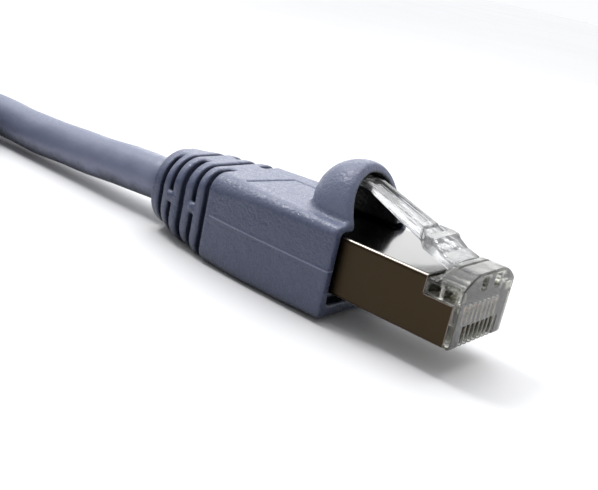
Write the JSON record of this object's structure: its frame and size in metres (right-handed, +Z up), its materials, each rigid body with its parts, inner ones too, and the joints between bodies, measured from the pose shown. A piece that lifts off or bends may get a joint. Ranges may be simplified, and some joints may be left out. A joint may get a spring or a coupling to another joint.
{
  "type": "ethernet patch cable",
  "caption": "Shielded network patch lead with moulded snagless boots, clear modular plugs and sprung latches, stored in a strapped coil.",
  "frame": {"origin": "middle of the near plug and boot in plan, on the surface that the lead lies on", "axes": "+X out of the near plug's nose, +Z up through its latch, +Y across it to the left as seen from behind"},
  "size_m": [0.1557, 0.0916, 0.018],
  "materials": {
    "moulded_boot": "matte moulded thermoplastic, blue-grey",
    "clear_housing": "clear polycarbonate",
    "plated_shell": "nickel-plated sheet brass",
    "gold_contacts": "gold-plated blades",
    "copper": "bare copper",
    "foil": "thin aluminium foil",
    "braid": "tinned copper braid",
    "cable_jacket": "matte extruded jacket, blue-grey",
    "strap": "black hook-and-loop strap",
    "insulation_white_orange": "coloured polyethylene",
    "insulation_orange": "coloured polyethylene",
    "insulation_white_green": "coloured polyethylene",
    "insulation_blue": "coloured polyethylene",
    "insulation_white_blue": "coloured polyethylene",
    "insulation_green": "coloured polyethylene",
    "insulation_white_brown": "coloured polyethylene",
    "insulation_brown": "coloured polyethylene"
  },
  "bodies": {
    "lead": {"near_boot": "moulded_boot", "near_plug_housing": "clear_housing", "near_shield_shell": "plated_shell", "near_contacts": "gold_contacts", "near_load_bar": "clear_housing", "near_wire_white_orange": "insulation_white_orange", "near_wire_orange": "insulation_orange", "near_wire_white_green": "insulation_white_green", "near_wire_blue": "insulation_blue", "near_wire_white_blue": "insulation_white_blue", "near_wire_green": "insulation_green", "near_wire_white_brown": "insulation_white_brown", "near_wire_brown": "insulation_brown", "near_copper_cores": "copper", "near_foil_wrap": "foil", "near_braid_fold": "braid", "near_jacket_end": "cable_jacket", "far_boot": "moulded_boot", "far_plug_housing": "clear_housing", "far_shield_shell": "plated_shell", "far_contacts": "gold_contacts", "far_load_bar": "clear_housing", "far_wire_white_orange": "insulation_white_orange", "far_wire_orange": "insulation_orange", "far_wire_white_green": "insulation_white_green", "far_wire_blue": "insulation_blue", "far_wire_white_blue": "insulation_white_blue", "far_wire_green": "insulation_green", "far_wire_white_brown": "insulation_white_brown", "far_wire_brown": "insulation_brown", "far_copper_cores": "copper", "far_foil_wrap": "foil", "far_braid_fold": "braid", "far_jacket_end": "cable_jacket", "cable_run": "cable_jacket", "cable_coil": "cable_jacket", "cable_tail": "cable_jacket", "coil_tie": "strap"},
    "near_latch": {"near_latch": "clear_housing"},
    "far_latch": {"far_latch": "clear_housing"}
  },
  "joints": [
    {"name": "near_latch_press", "type": "hinge", "parent": "lead", "child": "near_latch", "pos_m": [0.0203, 0, 0.01045], "axis": [0, -1, 0], "range_deg": [0, 14], "stiffness_Nm_per_rad": 0.2},
    {"name": "far_latch_press", "type": "hinge", "parent": "lead", "child": "far_latch", "pos_m": [-0.0185, -0.0768, 0.01045], "axis": [0, -1, 0], "range_deg": [0, 14], "stiffness_Nm_per_rad": 0.2}
  ]
}
